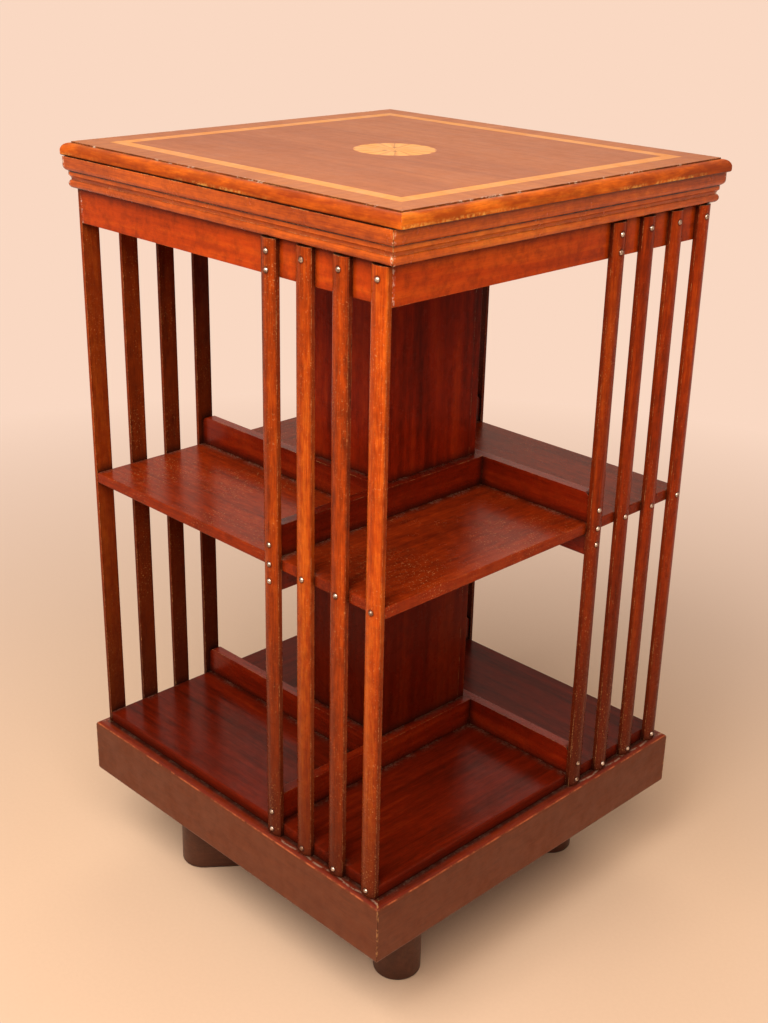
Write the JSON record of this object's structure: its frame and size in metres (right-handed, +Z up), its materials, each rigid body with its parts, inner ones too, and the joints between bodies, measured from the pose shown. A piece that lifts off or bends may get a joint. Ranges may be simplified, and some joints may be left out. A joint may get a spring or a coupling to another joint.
{
  "type": "revolving bookcase",
  "caption": "Square floor-standing bookcase with slatted corners and inlaid top that revolves on a spindle over a cross-shaped base.",
  "frame": {"origin": "on the floor, on the axis that the case turns about", "axes": "+Z up along the spindle; X and Y square to the case's faces, -Y out of the front face"},
  "size_m": [0.509, 0.499, 0.8805],
  "materials": {
    "mahogany_top": "polished",
    "satinwood": "polished",
    "patera_veneer": "polished",
    "mahogany_moulding": "polished",
    "mahogany_rail": "polished",
    "mahogany_slat": "polished",
    "mahogany_shelf": "polished",
    "mahogany_core": "satin",
    "mahogany_plinth": "satin",
    "mahogany_base": "satin",
    "softwood": "unfinished",
    "cast_iron": "as cast",
    "spindle_steel": "turned",
    "screw_steel": "dull",
    "brass": "turned",
    "pin_metal": "polished"
  },
  "bodies": {
    "base": {"base_arm_under": "mahogany_base", "base_arm_over": "mahogany_base", "spindle_flange": "cast_iron", "flange_screws": "screw_steel", "spindle": "spindle_steel", "thrust_washer": "brass"},
    "case": {"top_board": "mahogany_top", "top_banding": "satinwood", "top_patera": "patera_veneer", "middle_shelf": "mahogany_shelf", "bottom_board": "mahogany_shelf", "pivot_block": "softwood", "upper_bush_plate": "cast_iron", "lower_bush_plate": "cast_iron", "bush_screws": "screw_steel", "slat_pins": "pin_metal", "cornice_front": "mahogany_moulding", "frieze_rail_front": "mahogany_rail", "plinth_board_front": "mahogany_plinth", "core_panel_front": "mahogany_core", "upper_book_stop_front": "mahogany_core", "lower_book_stop_front": "mahogany_core", "shelf_batten_front": "mahogany_core", "slat_1_front": "mahogany_slat", "slat_2_front": "mahogany_slat", "slat_3_front": "mahogany_slat", "slat_4_front": "mahogany_slat", "cornice_right": "mahogany_moulding", "frieze_rail_right": "mahogany_rail", "plinth_board_right": "mahogany_plinth", "core_panel_right": "mahogany_core", "upper_book_stop_right": "mahogany_core", "lower_book_stop_right": "mahogany_core", "shelf_batten_right": "mahogany_core", "slat_1_right": "mahogany_slat", "slat_2_right": "mahogany_slat", "slat_3_right": "mahogany_slat", "slat_4_right": "mahogany_slat", "cornice_back": "mahogany_moulding", "frieze_rail_back": "mahogany_rail", "plinth_board_back": "mahogany_plinth", "core_panel_back": "mahogany_core", "upper_book_stop_back": "mahogany_core", "lower_book_stop_back": "mahogany_core", "shelf_batten_back": "mahogany_core", "slat_1_back": "mahogany_slat", "slat_2_back": "mahogany_slat", "slat_3_back": "mahogany_slat", "slat_4_back": "mahogany_slat", "cornice_left": "mahogany_moulding", "frieze_rail_left": "mahogany_rail", "plinth_board_left": "mahogany_plinth", "core_panel_left": "mahogany_core", "upper_book_stop_left": "mahogany_core", "lower_book_stop_left": "mahogany_core", "shelf_batten_left": "mahogany_core", "slat_1_left": "mahogany_slat", "slat_2_left": "mahogany_slat", "slat_3_left": "mahogany_slat", "slat_4_left": "mahogany_slat"}
  },
  "joints": [
    {"name": "case_spin", "type": "hinge", "parent": "base", "child": "case", "pos_m": [0, 0, 0], "axis": [0, 0, 1], "continuous": true}
  ]
}
